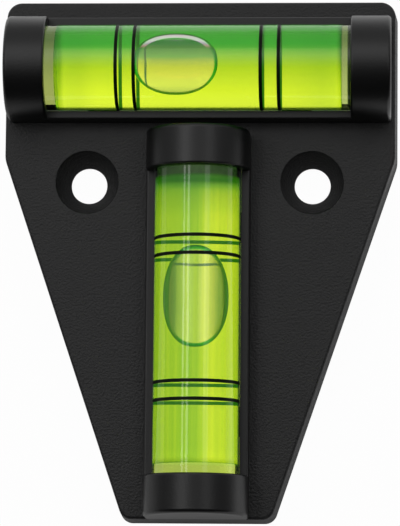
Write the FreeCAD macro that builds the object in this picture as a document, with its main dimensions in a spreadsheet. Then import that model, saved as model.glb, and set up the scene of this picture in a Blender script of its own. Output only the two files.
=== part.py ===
import FreeCAD, Part
import math
import os
import Sketcher

# Driving dimensions in millimetres, and the draft angle in degrees
SIZES = {
    # Vials: clear barrels, closed by a plug at the +X end of their own frame
    "vial_diameter": 11.5,
    "vial_length": 47.0,
    "vial_end_chamfer": 0.3,
    "bore_wall": 1.35,
    "barrel_crown": 0.06,
    "end_solid": 4.4,
    "plug_spigot": 1.3,
    "plug_seat_wall": 0.85,
    "plug_recess": 0.4,
    "plug_clearance": 0.02,
    "liquid_clearance": 0.01,
    # Marking lines: paint rings that fill shallow grooves round the vial
    "line_width": 0.38,
    "line_depth": 0.15,
    "line_clearance": 0.01,
    "inner_line_offset": 8.4,
    "line_pitch": 2.38,
    # Bubbles: drops that ride under the top of the bore, which clips their sides
    "bubble_film": 0.12,
    "bubble_clearance": 0.12,
    "bubble_sink": 1.3,
    "bubble_half_depth": 1.3,
    "cross_bubble_length": 11.3,
    "cross_bubble_width": 7.8,
    "cross_bubble_offset": -2.92,
    "stem_bubble_length": 13.5,
    "stem_bubble_width": 9.2,
    "stem_bubble_offset": 2.82,
    # Cradles: a channel round each vial, with a half-round collar over each end
    "vial_side_clearance": 0.05,
    "vial_end_clearance": 0.25,
    "vial_back_clearance": 3.79,
    "stem_vial_lift": 0.2,
    "cradle_wall": 1.12,
    "collar_end_wall": 1.9,
    "collar_cover": 3.22,
    "collar_edge_radius": 0.5,
    "rim_drop": 0.28,
    "rim_edge_radius": 0.3,
    # Base plate: rectangle at the cross vial that tapers to the foot
    "plate_thickness": 6.3,
    "plate_draft": 2.6,
    "plate_edge_radius": 0.4,
    "top_margin": 2.87,
    "collar_setback": 0.85,
    "collar_gap": 1.57,
    "foot_end_wall": 2.5,
    "foot_margin": 3.15,
    "shoulder_drop": 5.02,
    "top_corner_radius": 2.0,
    "shoulder_radius": 3.5,
    "foot_corner_radius": 1.7,
    # Hollow back: skin, outer wall, ribs and the nibs that hold the vials
    "skin_thickness": 1.8,
    "outer_wall": 1.6,
    "hollow_corner_radius": 0.8,
    "rib_thickness": 1.2,
    "rib_setback": 1.0,
    "rib_spacing": 17.0,
    "nib_reach": 0.6,
    "nib_height": 1.3,
    "nib_length": 4.0,
    "nib_offset": 13.0,
    "nib_clearance": 0.05,
    # Screw holes: deep countersink, short land and a relief behind it
    "screw_spacing": 30.2,
    "screw_row_drop": 8.11,
    "screw_head_diameter": 8.44,
    "screw_hole_diameter": 4.86,
    "countersink_depth": 3.45,
    "countersink_edge_radius": 0.2,
    "hole_land": 0.6,
    "relief_diameter": 6.8,
    "boss_wall": 1.2,
}

RIB_ROWS = 2

# How far a cutting outline runs past the material, and the slack when edges are picked
CUT_OVERLAP = 1.0
EDGE_SLACK = 0.02
CORNER_SLACK = 0.5

doc = FreeCAD.newDocument("SpiritLevel")
sheet = doc.addObject("Spreadsheet::Sheet", "Dimensions")


class Size:
    """A length as a sheet expression, together with its present value."""

    def __init__(self, text, value):
        self.text = text
        self.value = value

    @staticmethod
    def of(other):
        if isinstance(other, Size):
            return other
        return Size(str(other), float(other))

    def __add__(self, other):
        other = Size.of(other)
        return Size(f"({self.text} + {other.text})", self.value + other.value)

    def __sub__(self, other):
        other = Size.of(other)
        return Size(f"({self.text} - {other.text})", self.value - other.value)

    def __mul__(self, other):
        other = Size.of(other)
        return Size(f"({self.text} * {other.text})", self.value * other.value)

    def __truediv__(self, other):
        other = Size.of(other)
        return Size(f"({self.text} / {other.text})", self.value / other.value)

    def __radd__(self, other):
        return Size.of(other) + self

    def __rsub__(self, other):
        return Size.of(other) - self

    def __rmul__(self, other):
        return Size.of(other) * self

    def __neg__(self):
        return Size(f"(0 - {self.text})", -self.value)

    def root(self):
        return Size(f"sqrt({self.text})", math.sqrt(self.value))

    def slope_of_angle(self):
        return Size(f"tan({self.text} * 1deg)", math.tan(math.radians(self.value)))


class SheetSizes:
    """The driving dimensions of the sheet, each by its alias."""

    def __getattr__(self, alias):
        return Size(f"Dimensions.{alias}", float(sheet.get(alias)))


def fill_sheet():
    """Write every driving dimension to the sheet and name its cell."""
    for row, (alias, value) in enumerate(SIZES.items(), start=1):
        sheet.set(f"A{row}", alias)
        sheet.set(f"B{row}", str(value))
        sheet.setAlias(f"B{row}", alias)
    doc.recompute()


fill_sheet()
d = SheetSizes()
NONE = Size.of(0)

# Sizes that follow from the driving ones
vial_radius = d.vial_diameter / 2
half_vial = d.vial_length / 2
bore_radius = vial_radius - d.bore_wall
half_chamber = half_vial - d.end_solid
plug_seat_radius = vial_radius - d.plug_seat_wall
outer_line_offset = d.inner_line_offset + d.line_pitch

pocket_radius = vial_radius + d.vial_side_clearance
pocket_length = d.vial_length + 2 * d.vial_end_clearance
cradle_radius = pocket_radius + d.cradle_wall
cradle_width = 2 * cradle_radius
bar_length = pocket_length + 2 * d.collar_end_wall
window_length = d.vial_length - 2 * d.collar_cover
axis_height = d.vial_back_clearance + vial_radius
rim_height = axis_height - d.rim_drop
crest_height = axis_height + cradle_radius

# Outline of the plate at its back face, centred on the origin
half_width = bar_length / 2 + d.collar_setback
half_foot = cradle_radius + d.foot_margin
stem_length = d.collar_end_wall + pocket_length + d.foot_end_wall
half_length = (d.top_margin + cradle_width + d.collar_gap + stem_length) / 2
cross_y = half_length - d.top_margin - cradle_radius
cross_low_y = cross_y - cradle_radius
stem_top_y = cross_low_y - d.collar_gap
stem_y = stem_top_y - d.collar_end_wall - pocket_length / 2
shoulder_y = cross_low_y - d.shoulder_drop
screw_y = cross_low_y - d.screw_row_drop
side_slope = (half_width - half_foot) / (shoulder_y + half_length)
side_stretch = (1 + side_slope * side_slope).root()

hollow_depth = d.plate_thickness - d.skin_thickness
boss_radius = d.screw_head_diameter / 2 + d.boss_wall
screw_seat = d.plate_thickness - d.countersink_depth


def origin_plane(body, role):
    """The plane of a body's own origin that has this role."""
    for feature in body.Origin.OriginFeatures:
        if feature.Role == role:
            return feature
    raise RuntimeError(f"{body.Label} has no {role}")


def new_body(label):
    """An empty body that carries the name of its sub-part."""
    body = doc.addObject("PartDesign::Body", label)
    body.Label = label
    return body


def new_sketch(body, name, role, offset=None):
    """A sketch on one of the body's origin planes, moved along its normal."""
    sketch = body.newObject("Sketcher::SketchObject", name)
    sketch.AttachmentSupport = [(origin_plane(body, role), "")]
    sketch.MapMode = "FlatFace"
    if offset is not None:
        sketch.setExpression("AttachmentOffset.Base.z", offset.text)
    return sketch


def fix_point(sketch, edge, end, u, v):
    """Hold a point of the sketch at (u, v) from the sketch's origin."""
    for kind, size, axis in (("DistanceX", u, -2), ("DistanceY", v, -1)):
        if size is NONE:
            sketch.addConstraint(Sketcher.Constraint("PointOnObject", edge, end, axis))
        else:
            index = sketch.addConstraint(Sketcher.Constraint(kind, -1, 1, edge, end, size.value))
            sketch.setExpression(f"Constraints[{index}]", size.text)


def vector(u, v):
    """A sketch point from two sizes."""
    return FreeCAD.Vector(u.value, v.value, 0)


def add_polygon(sketch, corners):
    """Draw a closed outline through corners, each held by its own two sizes."""
    first = sketch.GeometryCount
    count = len(corners)
    for index, (u, v) in enumerate(corners):
        after = corners[(index + 1) % count]
        sketch.addGeometry(Part.LineSegment(vector(u, v), vector(*after)), False)
    for index, (u, v) in enumerate(corners):
        following = first + (index + 1) % count
        sketch.addConstraint(Sketcher.Constraint("Coincident", first + index, 2, following, 1))
        fix_point(sketch, first + index, 1, u, v)


def add_rectangle(sketch, low_u, high_u, low_v, high_v):
    """Draw a rectangle between two limits each way."""
    add_polygon(sketch, [(low_u, low_v), (high_u, low_v), (high_u, high_v), (low_u, high_v)])


def add_circle(sketch, u, v, radius):
    """Draw a circle held by its centre and its radius."""
    circle = Part.Circle(vector(u, v), FreeCAD.Vector(0, 0, 1), radius.value)
    edge = sketch.addGeometry(circle, False)
    fix_point(sketch, edge, 3, u, v)
    index = sketch.addConstraint(Sketcher.Constraint("Radius", edge, radius.value))
    sketch.setExpression(f"Constraints[{index}]", radius.text)


def add_tunnel(sketch, centre_u, centre_v, radius, base_v):
    """Draw a channel section: upright sides on a base, under a half circle."""
    left = centre_u - radius
    right = centre_u + radius
    circle = Part.Circle(vector(centre_u, centre_v), FreeCAD.Vector(0, 0, 1), radius.value)
    base = sketch.addGeometry(Part.LineSegment(vector(left, base_v), vector(right, base_v)), False)
    rise = sketch.addGeometry(Part.LineSegment(vector(right, base_v), vector(right, centre_v)), False)
    arch = sketch.addGeometry(Part.ArcOfCircle(circle, 0, math.pi), False)
    fall = sketch.addGeometry(Part.LineSegment(vector(left, centre_v), vector(left, base_v)), False)
    sketch.addConstraint(Sketcher.Constraint("Coincident", base, 2, rise, 1))
    sketch.addConstraint(Sketcher.Constraint("Tangent", rise, 2, arch, 1))
    sketch.addConstraint(Sketcher.Constraint("Tangent", arch, 2, fall, 1))
    sketch.addConstraint(Sketcher.Constraint("Coincident", fall, 2, base, 1))
    sketch.addConstraint(Sketcher.Constraint("Vertical", rise))
    fix_point(sketch, base, 1, left, base_v)
    fix_point(sketch, base, 2, right, base_v)
    fix_point(sketch, arch, 3, centre_u, centre_v)


def add_barrel(sketch, half, radius, crown):
    """Draw half of a crowned barrel's section, closed along its axis."""
    ends = [(-half, NONE), (-half, radius), (half, radius), (half, NONE)]
    rise = sketch.addGeometry(Part.LineSegment(vector(*ends[0]), vector(*ends[1])), False)
    top = FreeCAD.Vector(0, radius.value + crown.value, 0)
    wall = sketch.addGeometry(Part.Arc(vector(*ends[1]), top, vector(*ends[2])), False)
    fall = sketch.addGeometry(Part.LineSegment(vector(*ends[2]), vector(*ends[3])), False)
    axis = sketch.addGeometry(Part.LineSegment(vector(*ends[3]), vector(*ends[0])), False)
    left_end, right_end = arc_ends(sketch, wall)
    sketch.addConstraint(Sketcher.Constraint("Coincident", rise, 2, wall, left_end))
    sketch.addConstraint(Sketcher.Constraint("Coincident", wall, right_end, fall, 1))
    sketch.addConstraint(Sketcher.Constraint("Coincident", fall, 2, axis, 1))
    sketch.addConstraint(Sketcher.Constraint("Coincident", axis, 2, rise, 1))
    fix_point(sketch, rise, 1, *ends[0])
    fix_point(sketch, rise, 2, *ends[1])
    fix_point(sketch, fall, 1, *ends[2])
    fix_point(sketch, fall, 2, *ends[3])
    hold_crown(sketch, wall, half, crown)


def arc_ends(sketch, arc):
    """The numbers of an arc's left and right end points."""
    start = sketch.getPoint(arc, 1)
    end = sketch.getPoint(arc, 2)
    return (1, 2) if start.x < end.x else (2, 1)


def hold_crown(sketch, arc, half, crown):
    """Bind an arc's radius to its half chord and its rise."""
    radius = (half * half + crown * crown) / (2 * crown)
    index = sketch.addConstraint(Sketcher.Constraint("Radius", arc, radius.value))
    sketch.setExpression(f"Constraints[{index}]", radius.text)


def tip_volume(body):
    """The volume of a body as it stands, or nothing before its first feature."""
    doc.recompute()
    return body.Tip.Shape.Volume if body.Tip else 0.0


def check_change(body, feature, before, grows):
    """Stop where a feature leaves the body's volume as it was."""
    doc.recompute()
    change = feature.Shape.Volume - before
    if change * (1 if grows else -1) <= 0:
        raise RuntimeError(f"{body.Label}: {feature.Label} changed the volume by {change:.3f}")
    return feature


def add_pad(body, sketch, length, symmetric=False, draft=None):
    """Extrude a sketch into the body along its normal, or both ways."""
    before = tip_volume(body)
    pad = body.newObject("PartDesign::Pad", f"{sketch.Name}Pad")
    pad.Profile = sketch
    pad.setExpression("Length", length.text)
    if symmetric:
        pad.SideType = "Symmetric"
    if draft is not None:
        pad.setExpression("TaperAngle", f"(0 - {draft.text}) * 1deg")
    return check_change(body, pad, before, True)


def add_pocket(body, sketch, length, symmetric=False, along_normal=False):
    """Cut a sketch out of the body, against its normal unless told otherwise."""
    before = tip_volume(body)
    pocket = body.newObject("PartDesign::Pocket", f"{sketch.Name}Pocket")
    pocket.Profile = sketch
    pocket.setExpression("Length", length.text)
    pocket.Reversed = along_normal
    if symmetric:
        pocket.SideType = "Symmetric"
    return check_change(body, pocket, before, False)


def add_revolution(body, sketch):
    """Turn a sketch a full round about its own horizontal axis."""
    before = tip_volume(body)
    turned = body.newObject("PartDesign::Revolution", f"{sketch.Name}Revolution")
    turned.Profile = sketch
    turned.ReferenceAxis = (sketch, ["H_Axis"])
    turned.Angle = 360
    return check_change(body, turned, before, True)


def add_groove(body, sketch, axis_name):
    """Turn a sketch a full round out of the body."""
    before = tip_volume(body)
    groove = body.newObject("PartDesign::Groove", f"{sketch.Name}Groove")
    groove.Profile = sketch
    groove.ReferenceAxis = (sketch, [axis_name])
    groove.Angle = 360
    return check_change(body, groove, before, False)


def add_fillet(body, name, radius, wanted):
    """Round the edges of the body's tip that a test picks."""
    doc.recompute()
    base = body.Tip
    names = [f"Edge{i}" for i, edge in enumerate(base.Shape.Edges, start=1) if wanted(edge)]
    if not names:
        raise RuntimeError(f"{body.Label}: {name} found no edges")
    fillet = body.newObject("PartDesign::Fillet", name)
    fillet.Base = (base, names)
    fillet.setExpression("Radius", radius.text)
    doc.recompute()
    if not fillet.isValid():
        raise RuntimeError(f"{body.Label}: {name} failed")
    return fillet


def near(value, target, slack=EDGE_SLACK):
    """Whether a length is within a small slack of another."""
    return abs(value - target) < slack


def ends_of(edge, axis):
    """The coordinates of an edge's two ends along one axis."""
    points = [vertex.Point for vertex in edge.Vertexes]
    return [point[axis] for point in points]


def lies_at(edge, axis, target):
    """Whether an edge lies in the plane where this coordinate is target."""
    box = edge.BoundBox
    low = (box.XMin, box.YMin, box.ZMin)[axis]
    high = (box.XMax, box.YMax, box.ZMax)[axis]
    return near(low, target.value) and near(high, target.value)


def rises(edge):
    """Whether an edge runs from the back face up to the front of the plate."""
    heights = ends_of(edge, 2)
    return near(min(heights), 0) and near(max(heights), d.plate_thickness.value)


def leans_at_foot(edge, lean):
    """Whether an edge lies in the end face that leans with the foot's wall."""
    return edge.BoundBox.YMax < lean.value - half_length.value + EDGE_SLACK


def bounds_window(edge, axis, centre, half):
    """Whether an edge runs along a rim or round a collar's inner face."""
    box = edge.BoundBox
    length = (box.XLength, box.YLength)[axis]
    if box.ZMin < rim_height.value - EDGE_SLACK:
        return False
    if abs(edge.CenterOfMass[axis] - centre.value) > half.value + EDGE_SLACK:
        return False
    return length > EDGE_SLACK or not near(box.ZMax, rim_height.value)


def build_plate(body):
    """The tapering, drafted block with its rounded corners and front edge."""
    outline = new_sketch(body, "PlateOutline", "XY_Plane")
    add_polygon(outline, [
        (-half_width, half_length),
        (-half_width, shoulder_y),
        (-half_foot, -half_length),
        (half_foot, -half_length),
        (half_width, shoulder_y),
        (half_width, half_length),
    ])
    add_pad(body, outline, d.plate_thickness, draft=d.plate_draft)
    corners = (
        ("TopCorners", d.top_corner_radius, half_length),
        ("Shoulders", d.shoulder_radius, shoulder_y),
        ("FootCorners", d.foot_corner_radius, -half_length),
    )
    for name, radius, height in corners:
        add_fillet(
            body, name, radius,
            lambda edge: rises(edge) and near(edge.CenterOfMass.y, height.value, CORNER_SLACK),
        )
    add_fillet(
        body, "FrontEdge", d.plate_edge_radius,
        lambda edge: lies_at(edge, 2, d.plate_thickness),
    )


def hollow_side(y, inset):
    """Half the plate's width at y, set in square to the tapering side."""
    return half_foot + side_slope * (y + half_length) - inset * side_stretch


def build_hollow(body):
    """The hollow behind the skin, with screw bosses and ribs left in it."""
    low_y = d.foot_end_wall - half_length
    straight_x = half_width - d.outer_wall
    bend_y = shoulder_y - d.outer_wall * (side_stretch - 1) / side_slope
    low_x = hollow_side(low_y, d.outer_wall)
    hollow = new_sketch(body, "Hollow", "XY_Plane")
    add_polygon(hollow, [
        (-straight_x, cross_y),
        (-straight_x, bend_y),
        (-low_x, low_y),
        (low_x, low_y),
        (straight_x, bend_y),
        (straight_x, cross_y),
    ])
    add_pocket(body, hollow, hollow_depth, along_normal=True)
    add_fillet(
        body, "HollowCorners", d.hollow_corner_radius,
        lambda edge: near(min(ends_of(edge, 2)), 0)
        and near(max(ends_of(edge, 2)), hollow_depth.value)
        and edge.CenterOfMass.y < shoulder_y.value + CORNER_SLACK,
    )
    bosses = new_sketch(body, "Bosses", "XY_Plane")
    for side in (-1, 1):
        add_circle(bosses, d.screw_spacing * side / 2, screw_y, boss_radius)
    add_pad(body, bosses, d.plate_thickness - d.skin_thickness / 2)
    ribs = new_sketch(body, "Ribs", "XY_Plane", d.rib_setback)
    for row in range(RIB_ROWS):
        rib_y = screw_y - d.rib_spacing * row
        reach = hollow_side(rib_y, d.outer_wall / 2)
        half_rib = d.rib_thickness / 2
        add_rectangle(ribs, -reach, reach, rib_y - half_rib, rib_y + half_rib)
    add_pad(body, ribs, d.plate_thickness - d.skin_thickness / 2 - d.rib_setback)


def build_cross_cradle():
    """The half-round bar along X, cut down to open rims between its collars."""
    cradle = new_body("cross_cradle")
    bar = new_sketch(cradle, "CrossBar", "YZ_Plane")
    add_tunnel(bar, cross_y, axis_height, cradle_radius, NONE)
    add_pad(cradle, bar, bar_length, symmetric=True)
    add_fillet(
        cradle, "CrossCollarEdges", d.collar_edge_radius,
        lambda edge: near(abs(edge.CenterOfMass.x), bar_length.value / 2)
        and not lies_at(edge, 2, NONE),
    )
    window = new_sketch(cradle, "CrossWindow", "XY_Plane", rim_height)
    half = window_length / 2
    low_y = cross_low_y - CUT_OVERLAP
    add_rectangle(window, -half, half, low_y, low_y + cradle_width + 2 * CUT_OVERLAP)
    add_pocket(cradle, window, crest_height, along_normal=True)
    add_fillet(
        cradle, "CrossRimEdges", d.rim_edge_radius,
        lambda edge: bounds_window(edge, 0, NONE, half),
    )
    return cradle


def build_stem_cradle():
    """The half-round bar along Y, with its end leaning with the foot's wall."""
    cradle = new_body("stem_cradle")
    bar = new_sketch(cradle, "StemBar", "XZ_Plane", -stem_top_y)
    add_tunnel(bar, NONE, axis_height, cradle_radius, NONE)
    add_pad(cradle, bar, stem_length)
    lean = crest_height * d.plate_draft.slope_of_angle()
    trim = new_sketch(cradle, "FootTrim", "YZ_Plane")
    add_polygon(trim, [
        (-half_length, NONE),
        (lean - half_length, crest_height),
        (lean - half_length, crest_height + CUT_OVERLAP),
        (-half_length - CUT_OVERLAP, crest_height + CUT_OVERLAP),
        (-half_length - CUT_OVERLAP, NONE),
    ])
    add_pocket(cradle, trim, 2 * half_width, symmetric=True)
    add_fillet(
        cradle, "StemCollarEdges", d.collar_edge_radius,
        lambda edge: not lies_at(edge, 2, NONE)
        and (lies_at(edge, 1, stem_top_y) or leans_at_foot(edge, lean)),
    )
    window = new_sketch(cradle, "StemWindow", "XY_Plane", rim_height)
    half = window_length / 2
    reach = cradle_radius + CUT_OVERLAP
    add_rectangle(window, -reach, reach, stem_y - half, stem_y + half)
    add_pocket(cradle, window, crest_height, along_normal=True)
    add_fillet(
        cradle, "StemRimEdges", d.rim_edge_radius,
        lambda edge: bounds_window(edge, 1, stem_y, half),
    )
    return cradle


def add_cradles(body):
    """Join both cradles to the plate."""
    before = tip_volume(body)
    cradles = [build_cross_cradle(), build_stem_cradle()]
    joined = body.newObject("PartDesign::Boolean", "Cradles")
    joined.Type = "Fuse"
    joined.addObjects(cradles)
    body.Tip = joined
    check_change(body, joined, before, True)


def build_vial_pockets(body):
    """The channels that take the vials from behind, and their nibs."""
    cross = new_sketch(body, "CrossPocket", "YZ_Plane")
    add_tunnel(cross, cross_y, axis_height, pocket_radius, -Size.of(CUT_OVERLAP))
    add_pocket(body, cross, pocket_length, symmetric=True)
    stem = new_sketch(body, "StemPocket", "XZ_Plane", -(stem_y + pocket_length / 2))
    add_tunnel(stem, NONE, axis_height, pocket_radius, -Size.of(CUT_OVERLAP))
    add_pocket(body, stem, pocket_length, along_normal=True)

    shelf = pocket_radius - d.nib_reach
    contact = axis_height - (vial_radius * vial_radius - shelf * shelf).root()
    root = pocket_radius + d.cradle_wall / 2
    nibs = new_sketch(body, "Nibs", "XY_Plane", contact - d.nib_clearance - d.nib_height)
    half_nib = d.nib_length / 2
    for end in (-1, 1):
        for side in (-1, 1):
            near_side = shelf * side
            far_side = root * side
            low, high = sorted((near_side, far_side), key=lambda size: size.value)
            along = d.nib_offset * end
            add_rectangle(nibs, along - half_nib, along + half_nib, cross_y + low, cross_y + high)
            add_rectangle(nibs, low, high, stem_y + along - half_nib, stem_y + along + half_nib)
    add_pad(body, nibs, d.nib_height)


def build_screw_holes(body):
    """One countersunk hole turned about its own axis, its mirror image, and their edges."""
    axis_x = d.screw_spacing / 2
    cone_slope = (d.screw_head_diameter - d.screw_hole_diameter) / (2 * d.countersink_depth)
    overlap = Size.of(CUT_OVERLAP)
    mouth = d.screw_head_diameter / 2 + cone_slope * overlap
    hole = d.screw_hole_diameter / 2
    relief = d.relief_diameter / 2
    land_low = screw_seat - d.hole_land
    section = new_sketch(body, "ScrewHole", "XZ_Plane", -screw_y)
    add_polygon(section, [
        (axis_x, -overlap),
        (axis_x + relief, -overlap),
        (axis_x + relief, land_low),
        (axis_x + hole, land_low),
        (axis_x + hole, screw_seat),
        (axis_x + mouth, d.plate_thickness + overlap),
        (axis_x, d.plate_thickness + overlap),
    ])
    axis = sketch_axis(section, axis_x)
    groove = add_groove(body, section, axis)
    before = tip_volume(body)
    mirrored = body.newObject("PartDesign::Mirrored", "OtherScrewHole")
    mirrored.Originals = [groove]
    mirrored.MirrorPlane = (origin_plane(body, "YZ_Plane"), [""])
    body.Tip = mirrored
    check_change(body, mirrored, before, False)
    add_fillet(
        body, "ScrewHoleEdges", d.countersink_edge_radius,
        lambda edge: lies_at(edge, 2, d.plate_thickness)
        and near(edge.CenterOfMass.y, screw_y.value)
        and near(edge.BoundBox.YLength, d.screw_head_diameter.value),
    )


def sketch_axis(sketch, u):
    """A construction line at u that a groove can turn about, by its name."""
    low = FreeCAD.Vector(u.value, 0, 0)
    high = FreeCAD.Vector(u.value, 1, 0)
    line = sketch.addGeometry(Part.LineSegment(low, high), True)
    sketch.addConstraint(Sketcher.Constraint("Vertical", line))
    fix_point(sketch, line, 1, u, NONE)
    index = sketch.addConstraint(Sketcher.Constraint("DistanceY", line, 1, line, 2, 1.0))
    sketch.renameConstraint(index, "AxisLength")
    return "Axis0"


def build_body_shell():
    """The one-piece moulded body of the level."""
    body = new_body("body_shell")
    build_plate(body)
    build_hollow(body)
    add_cradles(body)
    build_vial_pockets(body)
    build_screw_holes(body)
    return body


class Vial:
    """One vial with all that is sealed in it, made along X and then placed."""

    def __init__(self, name, centre_y, turned, bubble_length, bubble_width, bubble_offset):
        self.name = name
        self.centre_y = centre_y
        self.turned = turned
        self.bubble_length = bubble_length
        self.bubble_width = bubble_width
        self.bubble_offset = bubble_offset

    def place(self, node):
        """Move a finished piece from the vial's own frame to the level's."""
        angle = 90 if self.turned else 0
        rotation = FreeCAD.Rotation(FreeCAD.Vector(0, 0, 1), angle)
        position = FreeCAD.Vector(0, self.centre_y.value, axis_height.value)
        node.Placement = FreeCAD.Placement(position, rotation)
        node.setExpression("Placement.Base.y", self.centre_y.text)
        node.setExpression("Placement.Base.z", axis_height.text)
        return node

    def body(self, part):
        """A new body named after this vial and one of its parts."""
        return new_body(f"{self.name}_vial_{part}")

    def build_tube(self):
        """The clear barrel: blind crowned bore, plug seat and line grooves."""
        body = self.body("tube")
        rod = new_sketch(body, "Rod", "XY_Plane")
        chamfer = d.vial_end_chamfer
        add_polygon(rod, [
            (-half_vial, NONE),
            (-half_vial, vial_radius - chamfer),
            (chamfer - half_vial, vial_radius),
            (half_vial - chamfer, vial_radius),
            (half_vial, vial_radius - chamfer),
            (half_vial, NONE),
        ])
        add_revolution(body, rod)
        chamber = new_sketch(body, "Chamber", "XY_Plane")
        add_barrel(chamber, half_chamber, bore_radius, d.barrel_crown)
        add_groove(body, chamber, "H_Axis")
        seat = new_sketch(body, "PlugSeat", "XY_Plane")
        step = half_chamber + d.plug_spigot
        add_polygon(seat, [
            (half_chamber - d.plug_spigot, NONE),
            (half_chamber - d.plug_spigot, bore_radius),
            (step, bore_radius),
            (step, plug_seat_radius),
            (half_vial + CUT_OVERLAP, plug_seat_radius),
            (half_vial + CUT_OVERLAP, NONE),
        ])
        add_groove(body, seat, "H_Axis")
        grooves = new_sketch(body, "LineGrooves", "XY_Plane")
        floor = vial_radius - d.line_depth
        for offset in self.line_offsets():
            low = offset - d.line_width / 2
            high = offset + d.line_width / 2
            add_rectangle(grooves, low, high, floor, vial_radius + CUT_OVERLAP)
        add_groove(body, grooves, "H_Axis")
        return self.place(body)

    def line_offsets(self):
        """Where the four marking lines stand along the vial."""
        inner = d.inner_line_offset
        return (-outer_line_offset, -inner, inner, outer_line_offset)

    def build_lines(self):
        """The four paint rings, each flush with the vial's wall."""
        for number, offset in enumerate(self.line_offsets(), start=1):
            body = self.body(f"line_{number}")
            section = new_sketch(body, "Ring", "XY_Plane")
            half_line = d.line_width / 2 - d.line_clearance
            low_radius = vial_radius - d.line_depth + d.line_clearance
            add_rectangle(section, offset - half_line, offset + half_line, low_radius, vial_radius)
            add_revolution(body, section)
            self.place(body)

    def build_plug(self):
        """The stepped stopper: spigot in the bore, head in its seat."""
        body = self.body("plug")
        spigot = bore_radius - d.plug_clearance
        head = plug_seat_radius - d.plug_clearance
        step = half_chamber + d.plug_spigot + d.plug_clearance
        end = half_vial - d.plug_recess
        section = new_sketch(body, "Stopper", "XY_Plane")
        add_polygon(section, [
            (half_chamber, NONE),
            (half_chamber, spigot),
            (step, spigot),
            (step, head),
            (end, head),
            (end, NONE),
        ])
        add_revolution(body, section)
        return self.place(body)

    def build_drop(self, label, swell):
        """The bubble's flattened drop, swollen by a clearance."""
        drop = doc.addObject("Part::Ellipsoid", label)
        drop.setExpression("Radius1", (d.bubble_half_depth + swell).text)
        drop.setExpression("Radius2", (self.bubble_length / 2 + swell).text)
        drop.setExpression("Radius3", (self.bubble_width / 2 + swell).text)
        drop.setExpression("Placement.Base.x", self.bubble_offset.text)
        drop.setExpression("Placement.Base.z", (bore_radius - d.bubble_sink).text)
        return drop

    def build_core(self, label, inset):
        """The chamber's crowned barrel, set in by a clearance all round."""
        core = new_body(label)
        section = new_sketch(core, "Core", "XY_Plane")
        add_barrel(section, half_chamber - inset, bore_radius - inset, d.barrel_crown)
        add_revolution(core, section)
        return core

    def build_bubble(self):
        """The air bubble: the drop, flattened against the top of the bore."""
        bubble = doc.addObject("Part::Common", f"{self.name}_vial_bubble")
        bubble.Base = self.build_drop(f"{self.name}_drop", NONE)
        bubble.Tool = self.build_core(f"{self.name}_bubble_room", d.bubble_film)
        bubble.Label = f"{self.name}_vial_bubble"
        return self.place(bubble)

    def build_liquid(self):
        """The liquid that fills the chamber round the bubble."""
        liquid = doc.addObject("Part::Cut", f"{self.name}_vial_liquid")
        liquid.Base = self.build_core(f"{self.name}_fill", d.liquid_clearance)
        liquid.Tool = self.build_drop(f"{self.name}_bubble_space", d.bubble_clearance)
        liquid.Label = f"{self.name}_vial_liquid"
        return self.place(liquid)

    def build(self):
        """Every piece of this vial, each in a node of its own."""
        self.build_tube()
        self.build_plug()
        self.build_lines()
        self.build_bubble()
        self.build_liquid()


def check_document():
    """Stop if any object of the document failed to compute."""
    doc.recompute()
    for item in doc.Objects:
        if "Invalid" in item.State or "Error" in item.State:
            raise RuntimeError(f"{item.Label} is {item.State}")


def sub_parts():
    """The labelled sub-parts, in the order in which they were made."""
    parts = ("tube", "plug", "line_1", "line_2", "line_3", "line_4", "bubble", "liquid")
    labels = ["body_shell"]
    for vial in ("cross", "stem"):
        labels.extend(f"{vial}_vial_{part}" for part in parts)
    return [doc.getObjectsByLabel(label)[0] for label in labels]


def write_parts():
    """Check each sub-part's shape and write it to its own file."""
    os.makedirs("parts", exist_ok=True)
    for node in sub_parts():
        shape = node.Shape
        if shape.isNull() or not shape.isValid():
            raise RuntimeError(f"{node.Label} has no valid shape")
        print(f"{node.Label}: {len(shape.Solids)} solid, {shape.Volume:.2f} mm3")
    for node in sub_parts():
        node.Shape.exportStep(f"parts/{node.Label}.step")


build_body_shell()
Vial("cross", cross_y, False, d.cross_bubble_length, d.cross_bubble_width, d.cross_bubble_offset).build()
Vial(
    "stem", stem_y + d.stem_vial_lift, True,
    d.stem_bubble_length, d.stem_bubble_width, d.stem_bubble_offset,
).build()
check_document()
write_parts()
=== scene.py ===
import logging
import math
from dataclasses import dataclass, field
from enum import Enum
from typing import Any, ClassVar, Mapping

import bmesh
import bpy
from mathutils import Euler, Matrix, Vector


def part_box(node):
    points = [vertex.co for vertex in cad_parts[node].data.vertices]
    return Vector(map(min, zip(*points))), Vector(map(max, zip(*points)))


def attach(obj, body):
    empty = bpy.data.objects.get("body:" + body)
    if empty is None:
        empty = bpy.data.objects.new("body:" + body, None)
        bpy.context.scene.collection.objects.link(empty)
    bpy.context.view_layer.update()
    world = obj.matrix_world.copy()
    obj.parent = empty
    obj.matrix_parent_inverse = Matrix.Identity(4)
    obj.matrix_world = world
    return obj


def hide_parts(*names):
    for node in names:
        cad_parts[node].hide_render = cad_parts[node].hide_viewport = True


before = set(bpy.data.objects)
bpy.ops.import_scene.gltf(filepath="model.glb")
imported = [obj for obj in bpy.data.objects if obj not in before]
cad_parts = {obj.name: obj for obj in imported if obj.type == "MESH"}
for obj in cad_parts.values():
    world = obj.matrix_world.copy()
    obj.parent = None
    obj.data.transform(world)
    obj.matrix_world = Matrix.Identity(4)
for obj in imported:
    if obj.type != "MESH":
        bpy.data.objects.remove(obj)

LOG = logging.getLogger("spirit_level")
MM = 0.001
FRAME_HEIGHT_PX = 526
SENSOR_MM = 36.0
ACRYLIC_IOR = 1.49
LIQUID_IOR = 1.36
WHITE = (1.0, 1.0, 1.0)
BLACK = (0.0, 0.0, 0.0)

Triple = tuple[float, float, float]
Colour = Triple
Stops = tuple[tuple[float, Colour], ...]


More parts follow.
